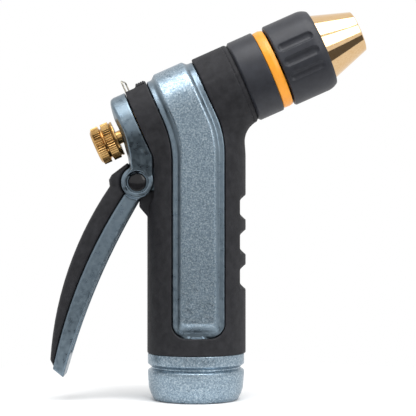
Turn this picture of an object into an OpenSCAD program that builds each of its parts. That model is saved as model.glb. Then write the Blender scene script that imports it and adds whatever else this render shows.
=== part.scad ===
// Pistol-shaped hose spray nozzle with a rear trigger.
// Z runs up the handle, X points the way the water sprays, and the origin is the
// centre of the hose inlet's mouth. Parts of the head are drawn in the head frame:
// its own Z runs along the spray axis from where that axis crosses the handle's
// axis, and its own X points down and forward. Side outlines are drawn in X and Z.

/* [Handle] */
// Radius of the rubber grip
grip_r = 17.4; // [16.6:0.1:21]
// Thickness of the rubber round the handle
grip_t = 2.2; // [1.6:0.1:2.8]
// Height at which the spray axis crosses the handle's axis
head_z = 105.7; // [98:0.1:128]
// Tilt of the spray axis above level, in degrees
head_tilt = 24; // [18:0.5:30]
// How far below the spray axis the handle begins to round over
shoulder_drop = 19.7; // [17:0.1:22]
// Radius of the hollow between the handle and the underside of the neck
throat_r = 8; // [4:0.5:12]
// Depth of the finger notches
notch_d = 1.8; // [0.5:0.1:2]
// Height of one finger notch
notch_h = 8.3; // [5:0.1:9]
// Height of the lowest finger notch's middle
notch_z = 43.7; // [36:0.1:46]
// Distance between finger notches
notch_pitch = 12.4; // [10:0.1:14]

/* [Hose inlet] */
// Radius over the crests of the inlet's female hose thread
inlet_r = 12.25; // [11.5:0.05:12.6]
// Depth of the inlet thread
inlet_l = 11.3; // [9:0.1:14]
// Radius of the hose washer
washer_r = 13.1; // [12.7:0.05:13.4]
// Thickness of the hose washer
washer_t = 2.8; // [2:0.1:3.4]
// Radius of the hose washer's hole
washer_hole_r = 8; // [7:0.1:9]
// Radius of the inlet collar at its mouth
mouth_r = 15.2; // [14.6:0.1:16]
// Height of the collar's tapered foot
foot_h = 4.5; // [3:0.1:6]
// Height of the inlet collar up to its groove
cup_h = 10.4; // [9:0.1:12]
// Width of the groove round the collar
groove_w = 2.4; // [1.5:0.1:3]
// Depth of the groove round the collar
groove_d = 1.4; // [0.5:0.1:1.8]
// Height of the plain ring above the groove
ring_h = 3.8; // [3:0.1:6]

/* [Head] */
// Radius of the rubber round the head
head_r = 14.8; // [14:0.1:16.4]
// Thickness of the rubber round the head
head_t = 1.9; // [1.4:0.1:2.4]
// How far the head's rear face stands behind the handle's axis
rear_l = 21.5; // [20:0.1:25]
// Width of the rubber strip behind the bare band
strip_w = 8.3; // [7:0.1:9]
// Width of the bare band over the head
band_w = 17.7; // [15:0.1:19]
// Length of the rubber neck in front of the band
neck_l = 13.6; // [12:0.1:17]
// How far the raised bare metal stands proud of the rubber
band_proud = 0.6; // [0.2:0.1:1]
// How far the rims beside it stand out from the casting's core
rim_t = 1; // [0.5:0.1:1.2]
// Width of the rims beside the raised metal
rim_w = 2.8; // [2:0.1:4]
// Rear edge of the bare metal on the handle
panel_x0 = -8.2; // [-9:0.1:-7]
// Front edge of the bare metal on the handle
panel_x1 = 10.1; // [9:0.1:11]
// Lower edge of the bare metal on the handle
panel_z0 = 22.8; // [20:0.1:28]

/* [Waterway] */
// Radius of the water passage up the handle
passage_r = 8.5; // [6:0.1:9]
// Radius of the valve chamber
chamber_r = 8.5; // [7.8:0.1:9]
// Radius of the hole through the valve seat
seat_hole_r = 5; // [4:0.1:5.2]
// Radius of the valve stem
stem_r = 2.4; // [2:0.1:2.6]
// Radius of the barrel's bore
barrel_bore_r = 6; // [5:0.1:6.2]
// Radius of the outlet hole in the cone
outlet_r = 3.6; // [3.4:0.1:4]
// Mean radius of the valve spring
spring_r = 5.2; // [4.6:0.1:5.6]
// Thickness of the spring's wire
spring_wire = 1.1; // [0.8:0.1:1.2]
// Turns of the valve spring
spring_turns = 4.5; // [3:0.5:5]

/* [Trigger] */
// How far behind the head's rear face the pivot pin lies, along the spray axis
arm_depth = 8.9; // [8:0.1:12]
// How far below the spray axis the pivot pin lies
pivot_drop = 17.5; // [16.5:0.1:20]
// Radius of the pivot pin
pin_r = 1.8; // [1.4:0.1:2]
// Radius of the pin's domed head
pin_head_r = 3.3; // [3:0.1:3.5]
// Radius of the ears round the pin
ear_r = 5.7; // [5.6:0.1:6.2]
// Half the width over the ears
ear_half = 9.2; // [8.8:0.1:10]
// Half the width of the lug between the ears
lug_half = 5.6; // [4.5:0.1:5.8]
// How far the end of the lever lies behind the pin
lever_back = 26.2; // [22:0.1:30]
// How far the end of the lever lies below the pin
lever_drop = 69; // [56:0.5:70]
// Half the width of the lever
lever_half = 8; // [7:0.1:9]
// Thickness of the trigger's walls
trigger_wall = 2.2; // [1.6:0.1:2.6]

/* [Flow knob] */
// Radius of the knurled flow knob
flow_r = 6.75; // [6:0.05:7.2]
// Length of the flow knob
flow_l = 7.8; // [6.5:0.1:10]
// Number of knurls round the flow knob
knurls = 36; // [24:2:48]
// Thickness of the thrust washer in front of it
thrust_t = 0.8; // [0.5:0.1:1.2]

/* [Hold-open clip] */
// Radius of the clip's wire
clip_wire_r = 0.45; // [0.4:0.05:0.55]
// Half the distance between the clip's legs
clip_half = 5.5; // [4.5:0.1:6]
// Height of the clip's top above the spray axis
clip_top = 18; // [17:0.1:20]

/* [Front end] */
// How far the collar in front of the neck stands proud of the rubber
collar_proud = 0.15; // [0:0.05:0.6]
// Length of the collar in front of the neck
collar_l = 9.8; // [8:0.1:12]
// How far the accent ring lies below the rubber
ring_drop = 0.3; // [0:0.1:0.6]
// Width of the accent ring
ring_w = 3.9; // [3:0.1:5]
// How far the twist knob stands proud of the rubber
knob_proud = 0.35; // [0.1:0.05:0.8]
// Length of the twist knob
knob_l = 16.5; // [15.5:0.1:20]
// Gap between the accent ring and the twist knob
knob_gap = 0.8; // [0.6:0.1:1.2]
// Rounding of the twist knob's front edge
knob_round = 2.9; // [1:0.1:2.9]
// Radius of the cone where it leaves the twist knob
cone_r = 12.2; // [11.6:0.1:12.2]
// Radius of the cone at its tip
tip_r = 7.35; // [6.5:0.05:8]
// Length of the cone in front of the twist knob
cone_l = 14.5; // [12:0.1:18]

/* [Fits] */
// Running clearance of a pin, shaft or screw, on the radius
run_fit = 0.06; // [0.02:0.01:0.1]
// Gap between two pieces that move past each other
slide_gap = 0.3; // [0.2:0.05:0.4]

/* [Hidden] */
$fn = 64;
eps = 0.01;

zinc = [0.55, 0.62, 0.68];
rubber = [0.2, 0.2, 0.22];
plastic = [0.13, 0.13, 0.16];
orange = [0.98, 0.63, 0.08];
brass = [0.78, 0.58, 0.28];
steel = [0.7, 0.7, 0.68];
seal_black = [0.1, 0.1, 0.1];

// Heights up the handle
groove_z = cup_h + groove_w / 2;
grip_z0 = cup_h + groove_w + ring_h;
shoulder_z = head_z - shoulder_drop;
washer_z0 = inlet_l + slide_gap / 2;
washer_seat_z = washer_z0 + washer_t + slide_gap / 2;
core_r = grip_r - grip_t;
head_core_r = head_r - head_t;
band_r = head_r + band_proud;
rim_r = head_core_r + rim_t;
collar_r = head_r + collar_proud;
ring_r = head_r - ring_drop;
knob_r = head_r + knob_proud;
knob_edge_r = min(knob_round, knob_r - cone_r - 0.05);
notches = 3;

// Stations along the spray axis, from the handle's axis forward
rear_s = -rear_l;
pivot_back = rear_l + arm_depth;
band_s0 = rear_s + strip_w;
band_s1 = band_s0 + band_w;
neck_s = band_s1 + neck_l;
core_s1 = neck_s + 2;
collar_s = neck_s + collar_l;
ring_s = collar_s + ring_w;
knob_s0 = ring_s + knob_gap;
knob_s1 = knob_s0 + knob_l;
tip_s = knob_s1 + cone_l;

// The waterway's stations
nut_head_l = 3;
nut_thread_r = 6;
nut_thread_l = 6.4;
gland_r = 5;
gland_l = 2.5;
guide_l = 2;
chamber_s0 = rear_s + nut_thread_l + gland_l + guide_l;
seat_s = 8;
seat_l = 2.5;
seat_r = chamber_r + 0.5;
spring_seat_s = 1.5;
spring_seat_t = 1;
seal_l = 2.6;
seal_r = seat_hole_r + 1.2;
seal_gap = 0.05;
flange_l = 2;
flange_r = head_core_r - 1.4;
lip_l = 2;
barrel_tube_r = seat_r - 1;
barrel_thread_r = seat_r - 0.2;
nose_r = barrel_bore_r + 1.5;
nose_s0 = knob_s0 + 10.6;
nose_s1 = nose_s0 + 6.8;

// The pivot, and the flow knob that the arm pulls on
contact_s = -pivot_back - 0.2;
flow_s1 = contact_s - thrust_t;
flow_s0 = flow_s1 - flow_l;
pad_r = 2;
arm_gap = slide_gap;
arm_s = rear_s - arm_gap;
arm_top_r = head_r - 0.9;
web_s = contact_s + 1.7;
slot_r = stem_r + 0.6;

// A point at station s on the spray axis and n above it, in X and Z
function side(s, n) = [s * cos(head_tilt) - n * sin(head_tilt),
                       head_z + s * sin(head_tilt) + n * cos(head_tilt)];
// Distance above the spray axis at which the station s meets the upright x
function n_at(s, x) = (s * cos(head_tilt) - x) / sin(head_tilt);
// Points of a flat arc from a to b that bulges by sag to the left of the way
function arc_points(a, b, sag, n = 8) = let (
    d = b - a,
    c = norm(d),
    left = [-d[1], d[0]] / c,
    r = (c * c / 4 + sag * sag) / (2 * sag),
    o = (a + b) / 2 + left * (sag - r),
    start = atan2(a[1] - o[1], a[0] - o[0]),
    turn = 4 * atan(2 * sag / c))
    [for (i = [0:n]) o + abs(r) * [cos(start - turn * i / n), sin(start - turn * i / n)]];

pin = side(-pivot_back, -pivot_drop);
relief_x = pin[0] + ear_r + slide_gap;

// The lever's long edges: bare metal inside, the pad's seat, and the pad's outside
inner_edge = arc_points(pin + [1, 0.4 - ear_r], pin + [-lever_back, -lever_drop], -2.4);
seat_edge = arc_points(pin + [-4.2, -3.6], pin + [-lever_back - 3.7, 3 - lever_drop], -3.3);
pad_edge = arc_points(pin + [-10.2, -1.4], pin + [-lever_back - 5.1, 6 - lever_drop], -4.4);

module head_frame() {
    translate([0, 0, head_z]) rotate([0, 90 - head_tilt, 0]) children();
}

// A side outline in X and Z made w wide across Y
module across(w) {
    rotate([90, 0, 0]) linear_extrude(w, center = true) children();
}

// A side outline given in stations and heights on the spray axis
module head_outline() {
    translate([0, head_z]) rotate(head_tilt) children();
}

// A tube or disc on the spray axis from station a to station b
module on_axis(a, b, r) {
    translate([0, 0, a]) cylinder(h = b - a, r = r);
}

module ring_on_axis(s, ring_major, ring_minor) {
    translate([0, 0, s]) rotate_extrude() translate([ring_major, 0]) circle(r = ring_minor, $fn = 24);
}

// ---- casting and grip

module upright(r) {
    translate([0, 0, grip_z0 - eps]) cylinder(h = shoulder_z - grip_z0 + eps, r = r);
    translate([0, 0, shoulder_z]) sphere(r = r);
}

// Everything behind the head's rear face and in the trigger's way
module rear_clearance() {
    corner_n = n_at(rear_s, relief_x);
    across(80) polygon([
        side(rear_s, 40),
        side(rear_s, corner_n),
        [relief_x, pin[1] - ear_r],
        [-grip_r - 3, pin[1] - 2 * ear_r - 3],
        [-80, pin[1] - 2 * ear_r - 3],
        [-80, side(rear_s, 40)[1]]
    ]);
}

// Outline of the bare band and side panel, drawn in by w
module bare_outline(w, foot, corner) {
    s0 = band_s0 + w;
    s1 = band_s1 - w;
    x0 = panel_x0 + w;
    x1 = panel_x1 - w;
    z0 = panel_z0 + foot;
    top = head_r + 6;
    n0 = n_at(s0, x0);
    n1 = n_at(s1, x1);
    polygon([side(s0, top), side(s0, n0), [x0, z0 + corner], [x1, z0 + corner],
        side(s1, n1), side(s1, top)]);
    translate([x0 + corner, z0]) square([x1 - x0 - 2 * corner, corner + eps]);
    for (x = [x0 + corner, x1 - corner]) translate([x, z0 + corner]) circle(r = corner);
}

// Bare metal over a side outline: flat flanks up the handle that run into a round over the head
module bare_metal(r) {
    flank = r - 0.05;
    intersection() {
        across(60) children();
        head_frame() {
            on_axis(band_s0 - 2, band_s1 + 2, r);
            translate([0, -flank, -90]) cube([130, 2 * flank, 160]);
        }
    }
}

module collar_outline() {
    top_r = grip_r - 0.2;
    polygon([
        [0, 0], [mouth_r - 0.8, 0], [mouth_r, 0.5], [mouth_r + 0.9, foot_h / 2],
        [top_r - 0.4, foot_h], [top_r, cup_h - 1.2], [top_r, cup_h],
        [top_r - groove_d, groove_z], [top_r, cup_h + groove_w],
        [top_r, grip_z0], [0, grip_z0]
    ]);
}

module casting_outside() {
    rotate_extrude() collar_outline();
    difference() {
        union() {
            upright(core_r);
            head_frame() on_axis(rear_s, core_s1, head_core_r);
        }
        difference() {
            across(60) bare_outline(0, 0, 5);
            across(2 * rim_r - 0.4) square([200, 400], center = true);
        }
    }
    bare_metal(rim_r) bare_outline(0, 0, 5);
    bare_metal(band_r) bare_outline(rim_w, rim_w + 1, 2.5);
}

module pivot_lug_outline() {
    translate(pin) circle(r = ear_r - 1.5);
    polygon([pin + [0, ear_r - 1.5], [relief_x + 2, pin[1] + 6], [relief_x + 2, pin[1] - 6],
        pin + [0, 1.5 - ear_r]]);
}

module clip_slots() {
    head_frame() for (y = [-clip_half, clip_half]) {
        translate([-head_r - 4, y - clip_wire_r - 0.2, rear_s - 1])
            cube([8.4, 2 * clip_wire_r + 0.4, 3.7]);
        translate([-clip_n, y, clip_s]) rotate([90, 0, 0])
            cylinder(h = 4.4, r = clip_wire_r + run_fit, center = true);
    }
}

module body_casting() {
    color(zinc) difference() {
        union() {
            difference() {
                casting_outside();
                rear_clearance();
            }
            across(2 * lug_half) pivot_lug_outline();
        }
        translate([0, 0, -1]) cylinder(h = inlet_l + 1, r = inlet_r);
        translate([0, 0, inlet_l]) cylinder(h = washer_seat_z - inlet_l, r = washer_r + slide_gap);
        cylinder(h = head_z - 5.7, r = passage_r);
        head_frame() {
            on_axis(rear_s - 1, rear_s + nut_thread_l, nut_thread_r + run_fit);
            on_axis(rear_s, rear_s + nut_thread_l + gland_l, gland_r);
            on_axis(rear_s, chamber_s0 + 1, stem_r + run_fit);
            on_axis(chamber_s0, seat_s, chamber_r);
            on_axis(seat_s, core_s1 + 1, seat_r);
        }
        clip_slots();
        translate([pin[0], 0, pin[1]]) rotate([90, 0, 0])
            cylinder(h = 3 * lug_half, r = pin_r, center = true);
    }
}

// Fillet between the handle's front and the underside of the neck
module throat() {
    half_turn = (90 - head_tilt) / 2;
    tangent = throat_r * tan(half_turn);
    corner_s = (grip_r - head_r * sin(head_tilt)) / cos(head_tilt);
    low = side(corner_s, -head_r) - [0, tangent];
    high = side(corner_s + tangent, -head_r);
    across(head_r) polygon(concat([side(corner_s, 4 - head_r), low - [4, 0]],
        arc_points(low, high, throat_r * (1 - cos(half_turn))),
        [side(corner_s + tangent, 4 - head_r)]));
}

// Serrated thumb pad on top of the head, in front of the clip
module thumb_ribs() {
    intersection() {
        on_axis(band_s0 - 4.2, band_s0, head_r + 0.4);
        for (i = [0:3]) translate([-head_r - 1, -6, band_s0 - 3.9 + i]) cube([4, 12, 0.6]);
    }
}

// Rubber under the pivot lug, between the ears
module lug_wedge() {
    across(2 * lug_half) polygon([pin + [0.5, -ear_r - 3], pin + [3.6, -ear_r - 6.6],
        [-core_r, pin[1] - ear_r - 6.6], [-core_r, pin[1] - 1], pin + [1, -1]]);
}

module finger_notches() {
    cut_r = (notch_h * notch_h / 4 + notch_d * notch_d) / (2 * notch_d);
    for (i = [0:notches - 1])
        translate([grip_r + cut_r - notch_d, 0, notch_z + i * notch_pitch])
            rotate([90, 0, 0]) cylinder(h = 60, r = cut_r, center = true);
}

module grip_sleeve() {
    color(rubber) difference() {
        union() {
            difference() {
                union() {
                    intersection() {
                        union() {
                            upright(grip_r);
                            throat();
                            head_frame() on_axis(rear_s, neck_s, head_r);
                        }
                        head_frame() translate([-60, -40, -200]) cube([260, 80, 200 + neck_s]);
                    }
                    head_frame() thumb_ribs();
                }
                rear_clearance();
            }
            lug_wedge();
        }
        casting_outside();
        across(60) bare_outline(0, 0, 5);
        across(2 * lug_half) pivot_lug_outline();
        // Lower step that the clip swings over
        head_frame() translate([-head_r - 3, -8, rear_s - 1])
            cube([3 + head_r - head_core_r - 0.6, 16, strip_w - 3.4]);
        clip_slots();
        finger_notches();
    }
}

module inlet_washer() {
    color(seal_black) translate([0, 0, washer_z0]) difference() {
        cylinder(h = washer_t, r = washer_r);
        translate([0, 0, -1]) cylinder(h = washer_t + 2, r = washer_hole_r);
    }
}

// ---- valve

module packing_nut() {
    color(brass) head_frame() difference() {
        union() {
            translate([0, 0, rear_s - nut_head_l]) cylinder(h = nut_head_l, r = 7, $fn = 6);
            on_axis(rear_s - eps, rear_s + nut_thread_l - 0.1, nut_thread_r);
        }
        on_axis(rear_s - 10, rear_s + 10, stem_r + run_fit);
    }
}

module packing_o_ring() {
    minor = (gland_r - stem_r) / 2 - 0.07;
    color(seal_black) head_frame()
        ring_on_axis(rear_s + nut_thread_l + gland_l / 2, (gland_r + stem_r) / 2, minor);
}

// The stem runs from inside the flow knob to the screw that holds the seal
module valve_stem() {
    color(brass) head_frame() {
        on_axis(flow_s0 + 1.6, seal_s0 - 0.5, stem_r);
        on_axis(spring_seat_s + spring_seat_t, seal_s0 - 1.5, stem_r + 1);
    }
}
seal_s1 = seat_s - seal_gap;
seal_s0 = seal_s1 - seal_l;

module spring_seat() {
    color(steel) head_frame() difference() {
        on_axis(spring_seat_s, spring_seat_s + spring_seat_t, chamber_r - 1.6);
        on_axis(spring_seat_s - 1, spring_seat_s + 2, stem_r);
    }
}

module seal_cup() {
    color(brass) head_frame() difference() {
        on_axis(seal_s0 - 1.5, seal_s0 + 1.2, seal_r + 0.9);
        on_axis(seal_s0, seal_s0 + 2, seal_r);
        on_axis(seal_s0 - 2, seal_s0 - 0.5, stem_r);
        on_axis(seal_s0 - 1, seal_s0 + 1, 1.3);
    }
}

module valve_seal() {
    color(seal_black) head_frame() difference() {
        on_axis(seal_s0, seal_s1, seal_r);
        on_axis(seal_s0 - 1, seal_s1 + 1, 1.3);
    }
}

module seal_screw() {
    color(steel) head_frame() {
        on_axis(seal_s0 - 0.5, seal_s1, 1.3);
        difference() {
            on_axis(seal_s1, seal_s1 + 1.6, 3);
            translate([0, 0, seal_s1 + 1.6]) cube([6.2, 0.9, 1.4], center = true);
        }
    }
}

// Coil swept with six sides along a helix
module valve_spring() {
    steps = 16;
    sides = 6;
    wire_r = spring_wire / 2;
    rings = floor(spring_turns * steps);
    z0 = chamber_s0 + wire_r + 0.1;
    z1 = spring_seat_s - wire_r - 0.1;
    points = [for (i = [0:rings], j = [0:sides - 1]) let (
        turn = 360 * i / steps,
        a = 360 * j / sides,
        r = spring_r + wire_r * cos(a))
        [r * cos(turn), r * sin(turn), z0 + (z1 - z0) * i / rings + wire_r * sin(a)]];
    walls = [for (i = [0:rings - 1], j = [0:sides - 1]) let (k = (j + 1) % sides)
        [i * sides + j, i * sides + k, (i + 1) * sides + k, (i + 1) * sides + j]];
    ends = [[for (j = [sides - 1:-1:0]) j], [for (j = [0:sides - 1]) rings * sides + j]];
    color(steel) head_frame() polyhedron(points, concat(walls, ends));
}

module seat_ring() {
    color(brass) head_frame() difference() {
        on_axis(seat_s, seat_s + seat_l, seat_r);
        on_axis(seat_s - 1, seat_s + seat_l + 1, seat_hole_r);
    }
}

// ---- front end

module barrel() {
    color(brass) head_frame() difference() {
        union() {
            on_axis(seat_s + seat_l, core_s1 + lip_l + 1, seat_r - 0.04);
            on_axis(core_s1 + lip_l, core_s1 + lip_l + flange_l, flange_r);
            on_axis(core_s1 + lip_l, knob_s0 + 1, barrel_tube_r);
            on_axis(knob_s0 + 0.8, nose_s0, barrel_thread_r);
            on_axis(nose_s0 - 1, nose_s1, nose_r);
        }
        on_axis(0, nose_s1 + 1, barrel_bore_r);
        translate([0, 0, core_s1 - 3]) rotate_extrude()
            translate([seat_r - 1, -0.9]) square([2, 1.8]);
    }
}

module barrel_o_ring() {
    color(seal_black) head_frame() ring_on_axis(core_s1 - 3, seat_r - 0.5, 0.45);
}

// Spider with a stalk whose head sits in the cone's outlet
module spray_plug() {
    spider_s = knob_s0 + 5;
    color(brass) head_frame() {
        difference() {
            on_axis(spider_s, spider_s + 3, barrel_bore_r - run_fit);
            on_axis(spider_s - 1, spider_s + 4, barrel_bore_r - 1.4);
        }
        for (a = [0, 120, 240]) rotate([0, 0, a])
            translate([1, -0.8, spider_s]) cube([barrel_bore_r - 2, 1.6, 3]);
        on_axis(spider_s - 1, tip_s - 6, 1.5);
        translate([0, 0, tip_s - 9]) cylinder(h = 3, r1 = 1.5, r2 = outlet_r - 0.4);
        on_axis(tip_s - 6, tip_s - 2.6, outlet_r - 0.4);
    }
}

module neck_collar() {
    color(plastic) head_frame() difference() {
        union() {
            on_axis(neck_s, collar_s, collar_r);
            on_axis(neck_s, ring_s - 0.1, spigot_r);
        }
        on_axis(neck_s - 1, core_s1, head_core_r);
        on_axis(neck_s - 1, ring_s + 1, seat_r);
        on_axis(core_s1 + lip_l, ring_s + 1, flange_r + run_fit);
        translate([0, 0, neck_s]) rotate_extrude() polygon([
            [collar_r - 0.5, 0], [collar_r + 1, -1], [collar_r + 1, 0.6], [collar_r, 0.6]]);
    }
}
spigot_r = flange_r + 1;

module accent_ring() {
    round_off = 0.5;
    color(orange) head_frame() rotate_extrude() polygon([
        [spigot_r, collar_s], [ring_r, collar_s], [ring_r, ring_s - round_off],
        [ring_r - round_off, ring_s - 0.05], [spigot_r, ring_s - 0.05]]);
}

// Groups of finger flutes round the twist knob
module knob_flutes() {
    groups = 3;
    flute_r = 2.1;
    flute_d = 0.72;
    flute_l = knob_l - 7.1;
    for (g = [0:groups - 1], i = [-1:1])
        rotate([0, 0, 273.5 + g * 360 / groups + 21.3 * i])
            translate([knob_r + flute_r - flute_d, 0, knob_s0 + 2.6]) {
                cylinder(h = flute_l, r = flute_r, $fn = 24);
                for (z = [0, flute_l]) translate([0, 0, z]) sphere(r = flute_r, $fn = 24);
            }
}

module twist_knob() {
    c = [knob_r - knob_edge_r, knob_s1 - knob_edge_r];
    color(plastic) head_frame() difference() {
        rotate_extrude() polygon(concat(
            [[barrel_thread_r + run_fit, knob_s0], [knob_r - 0.5, knob_s0], [knob_r, knob_s0 + 0.5]],
            [for (a = [0:15:90]) c + knob_edge_r * [cos(a), sin(a)]],
            [[barrel_thread_r + run_fit, knob_s1]]));
        on_axis(cone_s0, knob_s1 + 1, cone_r);
        on_axis(o_ring_s0, cone_s0 + 1, nose_r + 2.2);
        knob_flutes();
    }
}
cone_s0 = knob_s1 - 3.4;
o_ring_s0 = nose_s0 + 0.1;

module knob_o_ring() {
    color(seal_black) head_frame()
        ring_on_axis((o_ring_s0 + cone_s0) / 2, nose_r + 1.1, 1.05);
}

module nozzle_cone() {
    color(brass) head_frame() rotate_extrude() polygon([
        [nose_r + 0.5, cone_s0], [cone_r, cone_s0], [cone_r, knob_s1],
        [tip_r, tip_s - 0.3], [tip_r - 0.3, tip_s], [outlet_r, tip_s],
        [outlet_r, tip_s - 3.6], [outlet_r + 1.4, tip_s - 4.6], [nose_r + 0.5, nose_s1 + 1]]);
}

// ---- trigger

module pivot_pin() {
    color(plastic) translate([pin[0], 0, pin[1]]) rotate([90, 0, 0]) {
        translate([0, 0, -ear_half + 0.6]) cylinder(h = 2 * ear_half - 2, r = pin_r - run_fit / 2);
        translate([0, 0, pin_head_z]) cylinder(h = 1, r = pin_head_r);
        translate([0, 0, pin_head_z + 1]) cylinder(h = 0.7, r1 = pin_head_r, r2 = pin_head_r - 1.1);
    }
}
pin_head_z = ear_half - 1.5;

// Push-on cap that keeps the pin in, on the far side
module pin_retainer() {
    color(plastic) translate([pin[0], 0, pin[1]]) rotate([-90, 0, 0]) difference() {
        union() {
            translate([0, 0, pin_head_z]) cylinder(h = 1, r = pin_head_r);
            translate([0, 0, pin_head_z + 1])
                cylinder(h = 0.7, r1 = pin_head_r, r2 = pin_head_r - 1.1);
        }
        cylinder(h = ear_half - 0.6, r = pin_r - run_fit / 2);
    }
}

// The arm seen from behind: round over the head, tapering to the ears
module arm_outline(r, half) {
    circle(r = r);
    polygon([[0, 0], [r * 0.17, r * 0.965], [pivot_drop, half],
        [pivot_drop + ear_r, half], [pivot_drop + ear_r, -half],
        [pivot_drop, -half], [r * 0.17, -r * 0.965]]);
}

module arm_side() {
    head_outline() polygon([
        [arm_s, arm_top_r - 0.3], [arm_s - 3.9, arm_top_r + 0.1], [web_s + 1.8, arm_top_r],
        [web_s + 1, 9.5], [web_s, 0], [web_s - 1.2, -11.5],
        [-pivot_back - ear_r + 0.4, -pivot_drop], [-pivot_back, -pivot_drop - ear_r + 0.4],
        [-pivot_back + ear_r - 0.4, -pivot_drop], [arm_s, -pivot_drop + ear_r]]);
}

module arm_pocket_side() {
    w = trigger_wall;
    head_outline() polygon([
        [0, 30], [web_s + w + 1, 30], [web_s + w + 1, 9.5], [web_s + w, 0], [web_s + w - 1.2, -11.5],
        [-pivot_back - 3, -pivot_drop + 3], [-pivot_back, -pivot_drop], [0, -pivot_drop]]);
    translate(pin) circle(r = ear_r - 1);
    polygon(concat([pin + [30, 20], pin + [-4, -0.5]],
        arc_points(pin + [-4.2 + w, -3.9], pin + [-lever_back - 3.7 + w, 8 - lever_drop], -3.3),
        [pin + [-lever_back + 3, 8 - lever_drop], pin + [30, 8 - lever_drop]]));
}

module trigger_lever() {
    pocket_half = lug_half + slide_gap;
    color(zinc) difference() {
        union() {
            intersection() {
                head_frame() translate([0, 0, -60]) linear_extrude(60) arm_outline(arm_top_r, ear_half);
                across(60) arm_side();
            }
            across(2 * ear_half) translate(pin) circle(r = ear_r);
            across(2 * lever_half) polygon(concat(inner_edge,
                [for (i = [len(seat_edge) - 1:-1:0]) seat_edge[i]], [pin]));
            // Crowned pads that bear on the thrust washer
            head_frame() for (y = [-1, 1]) translate([0, y * 4.7, contact_s + pad_r])
                rotate([90, 0, 0]) cylinder(h = 2.6, r = pad_r, center = true);
        }
        intersection() {
            across(60) arm_pocket_side();
            head_frame() translate([0, 0, -60]) linear_extrude(80) {
                arm_outline(arm_top_r - trigger_wall, pocket_half);
                translate([pivot_drop, -pocket_half]) square([100, 2 * pocket_half]);
            }
        }
        // Slot for the stem
        head_frame() translate([0, 0, contact_s - 1]) linear_extrude(8) {
            translate([-5, 0]) circle(r = slot_r);
            translate([-5, -slot_r]) square([8, 2 * slot_r]);
            translate([3, 0]) circle(r = slot_r);
        }
        translate([pin[0], 0, pin[1]]) rotate([90, 0, 0])
            cylinder(h = 40, r = pin_r + run_fit / 2, center = true);
        for (a = [90, -90]) translate([pin[0], 0, pin[1]]) rotate([a, 0, 0])
            translate([0, 0, pin_head_z - 0.1]) cylinder(h = 10, r = pin_head_r + slide_gap);
    }
}

module trigger_pad() {
    color(rubber) difference() {
        across(2 * lever_half + 0.6) difference() {
            polygon(concat(pad_edge, [pin + [-lever_back - 4.4, 4.6 - lever_drop]],
                [for (i = [len(seat_edge) - 1:-1:0]) seat_edge[i]],
                [pin + [-2, 5], pin + [-3.7, 7.1], pin + [-9.5, 2.7], pin + [-10.5, 0.9]]));
            translate(pin) circle(r = ear_r);
            arm_side();
        }
        translate([pin[0], 0, pin[1]]) rotate([90, 0, 0])
            cylinder(h = 40, r = ear_r, center = true);
    }
}

// ---- the knobs and the clip

module thrust_washer() {
    color(brass) head_frame() difference() {
        on_axis(flow_s1, contact_s, flow_r - 0.55);
        on_axis(flow_s1 - 1, contact_s + 1, stem_r + run_fit);
    }
}

module flow_knob() {
    depth = 0.35;
    clear_r = flow_r + 0.2;
    color(brass) head_frame() difference() {
        intersection() {
            translate([0, 0, flow_s0]) linear_extrude(flow_l) polygon(
                [for (i = [0:2 * knurls - 1]) (flow_r - depth * (i % 2)) * [cos(180 * i / knurls),
                    sin(180 * i / knurls)]]);
            rotate_extrude() polygon([
                [0, flow_s0], [flow_r - 0.8, flow_s0], [clear_r, flow_s0 + 1],
                [clear_r, flow_s0 + 2.8], [flow_r - 0.7, flow_s0 + 3.4], [flow_r - 0.7, flow_s0 + 4.4],
                [clear_r, flow_s0 + 5], [clear_r, flow_s1 - 0.6], [flow_r - 0.4, flow_s1],
                [0, flow_s1]]);
        }
        on_axis(flow_s0 + 1.5, flow_s1 + 1, stem_r + run_fit);
    }
}

clip_s = rear_s + 0.8;
clip_n = head_core_r - 1.3;

// Wire bail whose turned-in ends are its hinge
module hold_open_clip() {
    bend = 1;
    color(steel) head_frame() translate([0, 0, clip_s]) for (side_y = [-1, 1]) {
        translate([-clip_n - bend, side_y * clip_half, 0]) rotate([0, -90, 0])
            cylinder(h = clip_top - clip_wire_r - clip_n - 2 * bend, r = clip_wire_r, $fn = 24);
        translate([-clip_n, side_y * (clip_half - bend), 0]) rotate([side_y * 90, 0, 0])
            cylinder(h = 1, r = clip_wire_r, $fn = 24);
        translate([clip_wire_r - clip_top, 0, 0]) rotate([-side_y * 90, 0, 0])
            cylinder(h = clip_half - bend, r = clip_wire_r, $fn = 24);
        mirror([0, side_y < 0 ? 1 : 0, 0]) {
            translate([-clip_n - bend, clip_half - bend, 0])
                rotate_extrude(angle = 90) translate([bend, 0]) circle(r = clip_wire_r, $fn = 24);
            translate([clip_wire_r - clip_top + bend, clip_half - bend, 0]) rotate([0, 0, 90])
                rotate_extrude(angle = 90) translate([bend, 0]) circle(r = clip_wire_r, $fn = 24);
        }
    }
}

body_casting();
grip_sleeve();
inlet_washer();
packing_nut();
packing_o_ring();
valve_spring();
seat_ring();
barrel();
barrel_o_ring();
spray_plug();
neck_collar();
accent_ring();
pivot_pin();
pin_retainer();
valve_stem();
spring_seat();
seal_cup();
valve_seal();
seal_screw();
thrust_washer();
flow_knob();
trigger_lever();
trigger_pad();
hold_open_clip();
knob_o_ring();
twist_knob();
nozzle_cone();
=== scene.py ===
import math

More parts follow.
